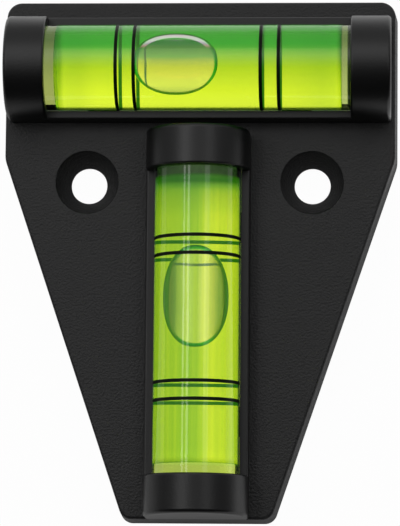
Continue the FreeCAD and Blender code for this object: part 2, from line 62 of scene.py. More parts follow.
def greys(*levels: tuple[float, float]) -> Stops:
    """Turn places and levels into a row of linear greys."""
    return tuple((place, (level, level, level)) for place, level in levels)


def srgb(red: float, green: float, blue: float) -> Colour:
    """Turn a screen colour into the linear one that shaders take.

    Args:
        red: Red, from 0 to 255.
        green: Green, from 0 to 255.
        blue: Blue, from 0 to 255.

    Returns:
        The same colour as three linear numbers from 0 to 1.
    """

    def linear(channel: float) -> float:
        """Undo the screen curve for one channel."""
        share = channel / 255
        return share / 12.92 if share <= 0.04045 else ((share + 0.055) / 1.055) ** 2.4

    return linear(red), linear(green), linear(blue)


class Wire:
    """One output of a node, with arithmetic that adds Math nodes."""

    def __init__(self, graph: "Graph", socket: bpy.types.NodeSocket | None) -> None:
        """Keep the output, if the node has one, and the graph that it belongs to."""
        self.graph = graph
        self.socket = socket

    def math(self, operation: str, *others: Any) -> "Wire":
        """Add one Math node that starts with this value.

        Args:
            operation: The Math node's operation.
            others: The further values or wires that it takes.

        Returns:
            The result.
        """
        values = dict(enumerate((self, *others)))
        return self.graph.node("ShaderNodeMath", {"operation": operation}, values)

    def __add__(self, other: Any) -> "Wire":
        """Add a value or wire."""
        return self.math("ADD", other)

    def __radd__(self, other: Any) -> "Wire":
        """Add to a value."""
        return self.math("ADD", other)

    def __sub__(self, other: Any) -> "Wire":
        """Take a value or wire away."""
        return self.math("SUBTRACT", other)

    def __rsub__(self, other: Any) -> "Wire":
        """Take this away from a value."""
        return self.math("MULTIPLY", -1.0).math("ADD", other)

    def __mul__(self, other: Any) -> "Wire":
        """Multiply by a value or wire."""
        return self.math("MULTIPLY", other)

    def __rmul__(self, other: Any) -> "Wire":
        """Multiply a value."""
        return self.math("MULTIPLY", other)

    def __truediv__(self, other: Any) -> "Wire":
        """Divide by a value or wire."""
        return self.math("DIVIDE", other)

    def __pow__(self, other: Any) -> "Wire":
        """Raise to a power."""
        return self.math("POWER", other)

    def part(self, axis: int) -> "Wire":
        """Take one axis of a vector.

        Args:
            axis: 0, 1 or 2 for X, Y or Z.

        Returns:
            That number as a wire.
        """
        return self.graph.node("ShaderNodeSeparateXYZ", {}, {0: self}, axis)

    def ramp(self, low: float, high: float) -> "Wire":
        """Rise smoothly from 0 at one value to 1 at another.

        Args:
            low: The value that gives 0.
            high: The value that gives 1.

        Returns:
            The smooth step as a wire.
        """
        limits = {"Value": self, "From Min": low, "From Max": high}
        return self.graph.node("ShaderNodeMapRange", {"interpolation_type": "SMOOTHSTEP"}, limits)


class Graph:
    """A node tree that is written as expressions."""

    def __init__(self, tree: bpy.types.NodeTree) -> None:
        """Start on an empty tree."""
        tree.nodes.clear()
        self.tree = tree

    def node(
        self,
        kind: str,
        settings: Mapping[str, Any] | None = None,
        sockets: Mapping[Any, Any] | None = None,
        output: int | str = 0,
    ) -> Wire:
        """Add a node, set it up and feed it.

        Args:
            kind: The node's type.
            settings: Its settings. "stops" holds a ramp's places and colours.
            sockets: The value or wire of each input, by name, identifier or number.
            output: Which output the result stands for.

        Returns:
            That output as a wire.
        """
        made = self.tree.nodes.new(kind)
        for name, value in (settings or {}).items():
            if name == "stops":
                self._set_stops(made.color_ramp, value)
            else:
                setattr(made, name, value)
        for key, value in (sockets or {}).items():
            self._feed(self._find(made.inputs, key), value)
        if not made.outputs:
            return Wire(self, None)
        return Wire(self, self._find(made.outputs, output))

    def _set_stops(self, ramp: bpy.types.ColorRamp, stops: Stops) -> None:
        """Give a colour ramp its stops.

        Args:
            ramp: The ramp.
            stops: Each stop's place from 0 to 1, and its colour.
        """
        while len(ramp.elements) < len(stops):
            ramp.elements.new(1.0)
        for element, (place, colour) in zip(ramp.elements, stops):
            element.position = place
            element.color = (*colour, 1.0)

    def _find(self, sockets: Any, key: int | str) -> bpy.types.NodeSocket:
        """Find a socket.

        Args:
            sockets: A node's inputs or outputs.
            key: The socket's number, identifier or name.

        Returns:
            The socket.
        """
        if isinstance(key, int):
            return sockets[key]
        for socket in sockets:
            if socket.identifier == key:
                return socket
        return sockets[key]

    def _feed(self, socket: bpy.types.NodeSocket, value: Any) -> None:
        """Link or set one input.

        Args:
            socket: The input.
            value: A wire to link, or a value to set.
        """
        if isinstance(value, Wire):
            self.tree.links.new(value.socket, socket)
        elif isinstance(value, tuple) and len(value) == 3 and socket.type == "RGBA":
            socket.default_value = (*value, 1.0)
        else:
            socket.default_value = value

    def mix(self, factor: Any, first: Any, second: Any) -> Wire:
        """Blend two colours.

        Args:
            factor: The share of the second one.
            first: The colour at 0.
            second: The colour at 1.

        Returns:
            The blend.
        """
        sockets = {"Factor_Float": factor, "A_Color": first, "B_Color": second}
        return self.node("ShaderNodeMix", {"data_type": "RGBA"}, sockets, "Result_Color")

    def multiply(self, first: Any, second: Any) -> Wire:
        """Tint one colour with another.

        Args:
            first: The colour.
            second: The tint.

        Returns:
            Their product.
        """
        settings = {"data_type": "RGBA", "blend_type": "MULTIPLY"}
        sockets = {"Factor_Float": 1.0, "A_Color": first, "B_Color": second}
        return self.node("ShaderNodeMix", settings, sockets, "Result_Color")

    def colours(self, share: Wire, stops: Stops) -> Wire:
        """Run through a row of colours.

        Args:
            share: The place on the row, from 0 to 1.
            stops: Each colour with its place.

        Returns:
            The colour at that place.
        """
        return self.node("ShaderNodeValToRGB", {"stops": stops}, {"Fac": share})

    def place(self) -> Wire:
        """The point being shaded, in the level's own frame, in metres."""
        return self.node("ShaderNodeTexCoord", {}, {}, "Object")

    def noise(self, size: float, stretch: Triple = (1.0, 1.0, 1.0), detail: float = 2.0) -> Wire:
        """A soft random pattern.

        Args:
            size: About how far apart its spots are, in metres.
            stretch: How closely it is packed along each axis.
            detail: How many finer layers it has.

        Returns:
            The pattern, from 0 to 1.
        """
        where = self.node("ShaderNodeMapping", {}, {"Vector": self.place(), "Scale": stretch})
        sockets = {"Vector": where, "Scale": 1 / size, "Detail": detail}
        return self.node("ShaderNodeTexNoise", {}, sockets)

    def bump(self, height: Wire, depth: float) -> Wire:
        """Turn a height pattern into a bent normal.

        Args:
            height: The pattern, from 0 to 1.
            depth: How tall 1 stands, in metres.

        Returns:
            The normal.
        """
        sockets = {"Strength": 1.0, "Distance": depth, "Height": height}
        return self.node("ShaderNodeBump", {}, sockets)


def new_material(name: str) -> tuple[bpy.types.Material, Graph]:
    """Make an empty node material.

    Args:
        name: Its name.

    Returns:
        The material and the graph of its nodes.
    """
    material = bpy.data.materials.new(name)
    material.use_nodes = True
    return material, Graph(material.node_tree)


def finish_material(graph: Graph, sockets: Mapping[Any, Any]) -> None:
    """End a material with one Principled shader.

    Args:
        graph: The material's graph.
        sockets: The shader's values and wires.
    """
    shader = graph.node("ShaderNodeBsdfPrincipled", {}, sockets)
    graph.node("ShaderNodeOutputMaterial", {}, {"Surface": shader})


class Lay(Enum):
    """Which way a vial lies."""

    ALONG_X = 0
    ALONG_Y = 1

    @property
    def across(self) -> int:
        """The level axis that crosses the vial."""
        return 1 - self.value

    @property
    def stretch(self) -> Triple:
        """How closely drawn lines are packed along each axis."""
        return (0.01, 1.0, 1.0) if self is Lay.ALONG_X else (1.0, 0.01, 1.0)


@dataclass(frozen=True)
class MouldedPlastic:
    """Black ABS: fine grain on the plate and a smoother satin on the cradles."""

    colour: Colour = srgb(10, 10, 11)
    pale_colour: Colour = srgb(22, 22, 23)
    satin: float = 0.36
    grain: float = 0.5
    grain_size: float = 0.3 * MM
    grain_detail: float = 3.0
    grain_depth: float = 0.09 * MM
    flow_size: float = 9.0 * MM
    plate_fade: tuple[float, float] = (0.05 * MM, 0.5 * MM)
    cradle_grain: float = 0.15
    grain_haze: float = 0.1
    flow_haze: float = 0.08

    def material(self, plate_top: float) -> bpy.types.Material:
        """Make the finish.

        Args:
            plate_top: The height of the plate's front face, where the grain ends.

        Returns:
            The material.
        """
        material, graph = new_material("moulded_plastic")
        height = graph.place().part(2)
        plate = 1 - height.ramp(*(plate_top + rise for rise in self.plate_fade))
        grain = graph.noise(self.grain_size, detail=self.grain_detail)
        flow = graph.noise(self.flow_size)
        rough = self.satin + (self.grain - self.satin) * plate + (flow - 0.5) * self.flow_haze
        relief = self.cradle_grain + (1 - self.cradle_grain) * plate
        finish_material(graph, {
            "Base Color": graph.mix(flow * plate, self.colour, self.pale_colour),
            "Roughness": rough + (grain - 0.5) * plate * self.grain_haze,
            "Normal": graph.bump(grain * relief, self.grain_depth),
        })
        return material


@dataclass(frozen=True)
class ClearAcrylic:
    """Clear acrylic with faint lines drawn along the vial, and painted light and shade: across its
    solid ends, along its sides, and as a painted shadow past the high end's collar.
    """

    low_end_painted_shading: Stops
    high_end_painted_shading: Stops
    # Where the painted shadow of the collar starts at the high end.
    collar_shadow_start: float = 21.0 * MM
    tint: Colour = (0.98, 1.0, 0.97)
    shade: Colour = (0.95, 0.98, 0.93)
    ior: float = ACRYLIC_IOR
    polish: float = 0.01
    streak_size: float = 0.5 * MM
    streak_range: tuple[float, float] = (0.3, 0.7)
    streak_depth: float = 0.001 * MM
    streak_haze: float = 0.02
    end_fade: float = 0.8 * MM
    collar_shadow_fade: float = 0.15 * MM
    rim_range: tuple[float, float] = (0.955, 0.985)
    rim_painted_shade: Colour = srgb(30, 45, 12)
    line_offsets: tuple[float, float] = (8.4 * MM, 10.78 * MM)
    line_half: float = 0.23 * MM
    line_fade: float = 0.03 * MM
    line_tint: Colour = srgb(8, 20, 4)

    def material(
        self, name: str, lay: Lay, centre: Vector, half_chamber: float, radius: float,
    ) -> bpy.types.Material:
        """Make the finish.

        Args:
            name: The material's name.
            lay: Which way the vial lies.
            centre: The middle of the chamber.
            half_chamber: Half the chamber's length, past which the ends are solid.
            radius: The vial's radius.

        Returns:
            The material.
        """
        material, graph = new_material(name)
        streaks = graph.noise(self.streak_size, lay.stretch).ramp(*self.streak_range)
        clear = graph.mix(streaks, self.tint, self.shade)
        along = graph.place().part(lay.value) - centre[lay.value]
        across = graph.place().part(lay.across) - centre[lay.across]
        share = across / (2 * radius) + 0.5
        # Painted light and shade in the solid ends: colours across each end stand in for the light
        # through it, darkest at the stem's top end under its collar.
        low = (along * -1.0).ramp(half_chamber - self.end_fade, half_chamber)
        high = along.ramp(half_chamber - self.end_fade, half_chamber)
        ended = graph.mix(low, clear, graph.colours(share, self.low_end_painted_shading))
        ended = graph.mix(high, ended, graph.colours(share, self.high_end_painted_shading))
        # Painted shadow of the collar: past this point the high end takes the dark rim colour.
        collar_shadow = along.ramp(self.collar_shadow_start, self.collar_shadow_start + self.collar_shadow_fade)
        # Painted shade: the rod darkens towards its sides, near its radius.
        rim = across.math("ABSOLUTE").ramp(*(part * radius for part in self.rim_range))
        edged = graph.mix(rim.math("MAXIMUM", collar_shadow), ended, self.rim_painted_shade)
        reach = along.math("ABSOLUTE")
        inner, outer = [(reach - offset).math("ABSOLUTE") for offset in self.line_offsets]
        nearest = inner.math("MINIMUM", outer)
        lined = 1 - nearest.ramp(self.line_half, self.line_half + self.line_fade)
        finish_material(graph, {
            "Base Color": graph.mix(lined, edged, self.line_tint),
            "Roughness": self.polish + streaks * self.streak_haze,
            "IOR": self.ior,
            "Transmission Weight": 1.0,
            "Normal": graph.bump(streaks, self.streak_depth),
        })
        return material


@dataclass(frozen=True)
class Stopper:
    """The cloudy acrylic of the plug, cemented into the vial, so light hardly bends at it."""

    tint: Colour = (0.88, 0.90, 0.80)
    cloud: Colour = (0.78, 0.80, 0.70)
    cloud_size: float = 0.8 * MM
    polish: float = 0.05
    haze: float = 0.1
    ior: float = 1.01

    def material(self) -> bpy.types.Material:
        """Make the finish.

        Returns:
            The material.
        """
        material, graph = new_material("stopper_acrylic")
        cloud = graph.noise(self.cloud_size)
        finish_material(graph, {
            "Base Color": graph.mix(cloud, self.tint, self.cloud),
            "Roughness": self.polish + cloud * self.haze,
            "IOR": self.ior,
            "Transmission Weight": 1.0,
        })
        return material


@dataclass(frozen=True)
class VialLiquid:
    """Yellow-green liquid with painted light and shade: yellow on one side, dark green on the
    other, and darker towards its ends, with a painted green glow.

    Its index is the liquid's against the acrylic that closes round it.
    """

    # Painted light and shade across the liquid, then painted shade towards its ends.
    stops: Stops
    along_painted_shade: Stops
    # Painted glow: the liquid gives off a faint green light of its own.
    glow: Colour = (0.012, 0.085, 0.002)
    ior: float = LIQUID_IOR / ACRYLIC_IOR

    def material(
        self, name: str, lay: Lay, centre: Vector, half: float, radius: float,
    ) -> bpy.types.Material:
        """Make the finish.

        Args:
            name: The material's name.
            lay: Which way the vial lies.
            centre: The middle of the chamber.
            half: Half the chamber's length.
            radius: The chamber's radius.

        Returns:
            The material.
        """
        material, graph = new_material(name)
        spot = graph.place()
        across = (spot.part(lay.across) - centre[lay.across]) / (2 * radius) + 0.5
        along = (spot.part(lay.value) - centre[lay.value]) / (2 * half) + 0.5
        # Painted light and shade: lighter on one side, darker on the other, and darker towards the
        # ends.
        colour = graph.colours(across, self.stops)
        finish_material(graph, {
            "Base Color": graph.multiply(colour, graph.colours(along, self.along_painted_shade)),
            "Roughness": 0.0,
            "IOR": self.ior,
            "Transmission Weight": 1.0,
            # The liquid's painted glow.
            "Emission Color": self.glow,
            "Emission Strength": 1.0,
        })
        return material


@dataclass(frozen=True)
class AirBubble:
    """Air inside the liquid, so light bends the other way at its skin.

    The crest is a painted highlight: a pale arc under the roof on one side, given as glow. It is
    seen through green liquid, which takes most of its red and blue away, so it is written strong
    in both. Painted shade darkens the bubble's sides and outline, and a faint painted reflection
    glows across it.
    """

    stops: Stops
    painted_reflection_stops: Stops
    # Painted outline colours: shade at the sides, and a green painted reflection at the ends.
    side_outline_shade: Colour = (0.06, 0.07, 0.04)
    end_outline_reflection: Colour = (0.002, 0.34, 0.13)
    edge_range: tuple[float, float] = (0.94, 0.98)
    end_width: float = 0.03
    squareness: float = 2.3
    ends_range: tuple[float, float] = (0.6, 0.95)
    crest_range: tuple[float, float] = (0.83, 0.87)
    crest_side: tuple[float, float] = (0.45, 0.75)
    crest_depth: float = 0.5 * MM
    crest_painted_highlight: Colour = BLACK
    ior: float = 1 / LIQUID_IOR

    def material(
        self, name: str, lay: Lay, low: Vector, high: Vector, axis_height: float,
    ) -> bpy.types.Material:
        """Make the finish.

        Args:
            name: The material's name.
            lay: Which way the vial lies.
            low: The low corner of the bubble's box.
            high: The high corner of it.
            axis_height: The height of the vial's axis.

        Returns:
            The material.
        """
        material, graph = new_material(name)
        centre, half = (low + high) / 2, (high - low) / 2
        spot = graph.place()
        off_axis = spot.part(lay.across) - centre[lay.across]
        across = off_axis / half[lay.across]
        along = ((spot.part(lay.value) - centre[lay.value]) / half[lay.value]).math("ABSOLUTE")
        total = across.math("ABSOLUTE") ** self.squareness + along ** self.squareness
        reach = total ** (1 / self.squareness)
        ends = along.ramp(*self.ends_range)
        # Painted outline: the rim is darkened at its sides as painted shade, and turned green at
        # its ends as painted reflection.
        edge = (reach + ends * self.end_width).ramp(*self.edge_range)
        painted_outline = graph.mix(ends, self.side_outline_shade, self.end_outline_reflection)
        above = spot.part(2) - axis_height
        radius = (off_axis * off_axis + above * above).math("SQRT")
        # Mask of the roof, for the painted crest highlight.
        roof = radius.math("GREATER_THAN", high.z - axis_height - self.crest_depth)
        crest = reach.ramp(*self.crest_range) * across.ramp(*self.crest_side) * roof
        # Painted shade across the bubble: its colours darken towards its sides and lighten in the
        # middle.
        share = across * 0.5 + 0.5
        # Painted reflection: a faint glow across the bubble, with the painted crest highlight
        # along its crest.
        haze = graph.mix(crest, graph.colours(share, self.painted_reflection_stops), self.crest_painted_highlight)
        finish_material(graph, {
            "Base Color": graph.mix(edge, graph.colours(share, self.stops), painted_outline),
            "Roughness": 0.0,
            "IOR": self.ior,
            "Transmission Weight": 1.0,
            "Emission Color": graph.mix(edge, haze, BLACK),
            "Emission Strength": 1.0,
        })
        return material


@dataclass(frozen=True)
class LinePaint:
    """Black paint that fills the vial's marking grooves."""

    colour: Colour = srgb(6, 14, 3)
    thin_colour: Colour = srgb(14, 26, 6)
    shine: float = 0.1
    gloss: float = 0.35
    wear_size: float = 0.3 * MM
    wear_haze: float = 0.2
    wear_depth: float = 0.01 * MM

    def material(self) -> bpy.types.Material:
        """Make the finish.

        Returns:
            The material.
        """
        material, graph = new_material("line_paint_finish")
        wear = graph.noise(self.wear_size)
        finish_material(graph, {
            "Base Color": graph.mix(wear, self.colour, self.thin_colour),
            "Roughness": self.gloss + wear * self.wear_haze,
            "Specular IOR Level": self.shine,
            "Normal": graph.bump(wear, self.wear_depth),
        })
        return material


class BarrelTree:
    """Geometry nodes that turn a barrel from its half length, radius, crown and edge."""

    inputs: ClassVar[tuple[tuple[str, str], ...]] = (
        ("Half Length", "Float"),
        ("Radius", "Float"),
        ("Crown", "Float"),
        ("Edge", "Float"),
        ("Rings", "Int"),
        ("Segments", "Int"),
        ("Finish", "Material"),
    )

    def __init__(self) -> None:
        """Build the tree once."""
        self.tree = bpy.data.node_groups.new("turned_barrel", "GeometryNodeTree")
        self.graph = Graph(self.tree)
        face = self.tree.interface
        for name, kind in self.inputs:
            face.new_socket(name, in_out="INPUT", socket_type=f"NodeSocket{kind}")
        face.new_socket("Barrel", in_out="OUTPUT", socket_type="NodeSocketGeometry")
        self._build()

    def _size(self, name: str) -> Wire:
        """Read one of the tree's inputs.

        Args:
            name: The input's name.

        Returns:
            Its value as a wire.
        """
        return self.graph.node("NodeGroupInput", {}, {}, name)

    def _build(self) -> None:
        """Lay the nodes out: a line of rings, their spacing and radius, and the skin."""
        graph = self.graph
        half = self._size("Half Length")
        edge = self._size("Edge")
        ends = {"Start": (-1.0, 0.0, 0.0), "End": (1.0, 0.0, 0.0)}
        line = graph.node("GeometryNodeCurvePrimitiveLine", {}, ends)
        count = self._size("Rings")
        rings = graph.node("GeometryNodeResampleCurve", {}, {"Curve": line, "Count": count})
        share = graph.node("GeometryNodeInputPosition").part(0)
        reach = (share * (math.pi / 2)).math("SINE")
        where = graph.node("ShaderNodeCombineXYZ", {}, {"X": reach * half})
        placed = graph.node("GeometryNodeSetPosition", {}, {"Geometry": rings, "Position": where})
        spot = graph.node("GeometryNodeInputPosition").part(0)
        past = (spot.math("ABSOLUTE") - half + edge).math("MAXIMUM", 0.0)
        rounding = (edge * edge - past * past).math("MAXIMUM", 0.0).math("SQRT")
        swell = self._size("Crown") * (1 - (spot / half) ** 2.0)
        radius = self._size("Radius") + swell - edge + rounding
        unit = {"Resolution": self._size("Segments"), "Radius": 1.0}
        circle = graph.node("GeometryNodeCurvePrimitiveCircle", {}, unit)
        wrap = {"Curve": placed, "Profile Curve": circle, "Scale": radius, "Fill Caps": True}
        skin = graph.node("GeometryNodeCurveToMesh", {}, wrap)
        smooth = graph.node("GeometryNodeSetShadeSmooth", {}, {"Geometry": skin})
        real = graph.node("GeometryNodeRealizeInstances", {}, {"Geometry": smooth})
        finish = self._size("Finish")
        dressed = graph.node("GeometryNodeSetMaterial", {}, {"Geometry": real, "Material": finish})
        graph.node("NodeGroupOutput", {}, {"Barrel": dressed})

    def turn(
        self, name: str, sizes: Mapping[str, float], rings: int, segments: int,
        finish: bpy.types.Material,
    ) -> bpy.types.Object:
        """Turn one barrel along X, about the origin.

        Args:
            name: The piece's name.
            sizes: The half length, radius, crown and edge, in metres.
            rings: How many rings it has.
            segments: How many sides each ring has.
            finish: Its material.

        Returns:
            The barrel as a plain mesh object.
        """
        values = {**sizes, "Rings": rings, "Segments": segments, "Finish": finish}
        blank = bpy.data.objects.new(f"{name}_blank", bpy.data.meshes.new(f"{name}_blank"))
        bpy.context.scene.collection.objects.link(blank)
        modifier = blank.modifiers.new("turned_barrel", "NODES")
        modifier.node_group = self.tree
        for item in self.tree.interface.items_tree:
            if item.in_out == "INPUT":
                modifier[item.identifier] = values[item.name]
        graph = bpy.context.evaluated_depsgraph_get()
        mesh = bpy.data.meshes.new_from_object(blank.evaluated_get(graph), depsgraph=graph)
        bpy.data.objects.remove(blank)
        mesh.name = name
        piece = bpy.data.objects.new(name, mesh)
        bpy.context.scene.collection.objects.link(piece)
        return piece


@dataclass
class BubbleSkin:
    """A bubble's surface: flat along the chamber's roof, rounded at the rim and full below."""

    low: Vector
    high: Vector
    axis_height: float
    lay: Lay
    rim_drop: float = 0.8 * MM
    rim_power: float = 2.6
    squareness: float = 2.3
    levels: int = 48
    segments: int = 128

    def height(self, across: float, share: float, upper: bool) -> float:
        """How high the skin stands.

        Args:
            across: The distance from the vial's axis, in metres.
            share: The place between the middle, 0, and the rim, 1.
            upper: Whether it is the side that faces the roof.

        Returns:
            The height in metres.
        """
        roof = self.high.z - self.axis_height
        top = self.axis_height + math.sqrt(roof * roof - across * across)
        rim = top - self.rim_drop
        if upper:
            return rim + self.rim_drop * (1 - share ** self.rim_power) ** (1 / self.rim_power)
        return rim + (self.low.z - rim) * math.sqrt(1 - share * share)

    def ring(self, level: int) -> list[Triple]:
        """The points of one ring.

        Args:
            level: Its number, from the middle of the roof side to the middle below.

        Returns:
            The ring's points.
        """
        turn = math.pi * level / self.levels
        share = math.sin(turn)
        upper = turn < math.pi / 2
        side = self.lay.across
        centre, half = (self.low + self.high) / 2, (self.high - self.low) / 2
        points = []
        for step in range(self.segments):
            angle = math.tau * step / self.segments
            spot = [0.0, 0.0, 0.0]
            for axis, part in ((side, math.cos(angle)), (self.lay.value, math.sin(angle))):
                reach = math.copysign(abs(part) ** (2 / self.squareness), part)
                spot[axis] = centre[axis] + half[axis] * share * reach
            spot[2] = self.height(spot[side] - centre[side], share, upper)
            points.append(tuple(spot))
        return points

    def faces(self, count: int) -> list[tuple[int, ...]]:
        """Join the rings, and close both middles with fans.

        Args:
            count: How many points there are, of which the last two are the middles.

        Returns:
            Each face's points.
        """
        faces = []
        last = count - 2 - self.segments
        for step in range(self.segments):
            after = (step + 1) % self.segments
            faces.append((count - 2, step, after))
            faces.append((count - 1, last + after, last + step))
            for start in range(0, last, self.segments):
                below = start + self.segments
                faces.append((start + step, below + step, below + after, start + after))
        return faces

    def build(self, name: str, finish: bpy.types.Material) -> bpy.types.Object:
        """Skin the rings.

        Args:
            name: The piece's name.
            finish: Its material.

        Returns:
            The bubble.
        """
        centre = (self.low + self.high) / 2
        points = [point for level in range(1, self.levels) for point in self.ring(level)]
        points += [(centre.x, centre.y, self.high.z), (centre.x, centre.y, self.low.z)]
        faces = self.faces(len(points))
        mesh = bpy.data.meshes.new(name)
        mesh.from_pydata(points, [], faces)
        mesh.polygons.foreach_set("use_smooth", [True] * len(faces))
        mesh.materials.append(finish)
        shape = bmesh.new()
        shape.from_mesh(mesh)
        bmesh.ops.recalc_face_normals(shape, faces=shape.faces)
        shape.to_mesh(mesh)
        shape.free()
        piece = bpy.data.objects.new(name, mesh)
        bpy.context.scene.collection.objects.link(piece)
        return piece


@dataclass
class Shell:
    """The moulded body of the level."""

    node: str = "body_shell"
    plate_top: float = 6.3 * MM
    finish: MouldedPlastic = field(default_factory=MouldedPlastic)

    def build(self) -> None:
        """Dress the moulded body."""
        dress(self.node, self.finish.material(self.plate_top))
        LOG.info("%s dressed", self.node)


@dataclass
class Vial:
    """One vial: its clear body, liquid, bubble, marking lines and stopper."""

    name: str
    lay: Lay
    acrylic: ClearAcrylic
    liquid: VialLiquid
    air: AirBubble
    barrel: BarrelTree
    paint_proud: float = 0.01 * MM
    edge: float = 0.3 * MM
    liquid_edge: float = 0.1 * MM
    crown: float = 0.06 * MM
    lines: int = 4
    rod_rings: int = 49
    liquid_rings: int = 65
    segments: int = 160

    def node(self, part: str) -> str:
        """The name of one of this vial's nodes."""
        return f"{self.name}_vial_{part}"

    def measure(self, part: str) -> tuple[Vector, float, float]:
        """Read a turned piece's place from its node in model.glb.

        Args:
            part: The last word of the node's name.

        Returns:
            Its middle, half length and radius, in metres.
        """
        low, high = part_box(self.node(part))
        size = high - low
        return (low + high) / 2, size[self.lay.value] / 2, size.z / 2

    def put(self, piece: bpy.types.Object, centre: Vector) -> None:
        """Lay a barrel where it belongs and let it ride on the level.

        Args:
            piece: The barrel, made along X about the origin.
            centre: Where its middle goes.
        """
        turn = math.radians(90) if self.lay is Lay.ALONG_Y else 0.0
        piece.data.transform(Euler((0, 0, turn)).to_matrix().to_4x4())
        for vertex in piece.data.vertices:
            vertex.co += centre
        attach(piece, "level")

    def build_rod(self) -> None:
        """The clear outer body, which closes round everything inside."""
        centre, half, radius = self.measure("tube")
        body_radius = radius - self.paint_proud
        sizes = {"Half Length": half, "Radius": body_radius, "Crown": 0.0, "Edge": self.edge}
        chamber, half_chamber, _ = self.measure("liquid")
        name = f"{self.name}_acrylic"
        finish = self.acrylic.material(name, self.lay, chamber, half_chamber, radius)
        rod = self.barrel.turn(self.node("body"), sizes, self.rod_rings, self.segments, finish)
        self.put(rod, centre)
        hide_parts(self.node("tube"))

    def build_liquid(self) -> None:
        """The liquid, which fills the crowned chamber."""
        centre, half, radius = self.measure("liquid")
        end_radius, edge = radius - self.crown, self.liquid_edge
        sizes = {"Half Length": half, "Radius": end_radius, "Crown": self.crown, "Edge": edge}
        finish = self.liquid.material(f"{self.name}_liquid", self.lay, centre, half, radius)
        name = self.node("filling")
        filling = self.barrel.turn(name, sizes, self.liquid_rings, self.segments, finish)
        self.put(filling, centre)
        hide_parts(self.node("liquid"))

    def build_bubble(self) -> None:
        """The air bubble, with a rounded rim that the solid lacks."""
        low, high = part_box(self.node("bubble"))
        axis_height = self.measure("tube")[0].z
        finish = self.air.material(f"{self.name}_air", self.lay, low, high, axis_height)
        bubble = BubbleSkin(low, high, axis_height, self.lay).build(self.node("air"), finish)
        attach(bubble, f"{self.name}_bubble")
        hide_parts(self.node("bubble"))

    def build(self) -> None:
        """Build and dress every piece of the vial."""
        self.build_rod()
        self.build_liquid()
        self.build_bubble()
        dress(self.node("plug"), Stopper().material())
        paint = LinePaint().material()
        for number in range(1, self.lines + 1):
            dress(self.node(f"line_{number}"), paint)
        LOG.info("%s vial built", self.name)


def dress(node: str, material: bpy.types.Material) -> None:
    """Give a carried-over node its finish.

    Args:
        node: The node's name.
        material: Its finish.
    """
    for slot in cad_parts[node].material_slots:
        slot.material = material


@dataclass(frozen=True)
class Softbox:
    """One plain studio lamp that points at the level."""

    name: str
    place: Triple
    size: tuple[float, float]
    radiance: float

    def build(self) -> None:
        """Hang the lamp so that it faces the level, with its width square to the Y axis."""
        light = bpy.data.lights.new(self.name, "AREA")
        light.shape = "RECTANGLE"
        light.size, light.size_y = self.size
        light.energy = self.radiance * math.pi * self.size[0] * self.size[1]
        lamp = bpy.data.objects.new(self.name, light)
        lamp.location = self.place
        back = Vector(self.place).normalized()
        side = Vector((0.0, 1.0, 0.0)).cross(back).normalized()
        lamp.rotation_euler = Matrix((side, back.cross(side), back)).transposed().to_euler()
        bpy.context.scene.collection.objects.link(lamp)


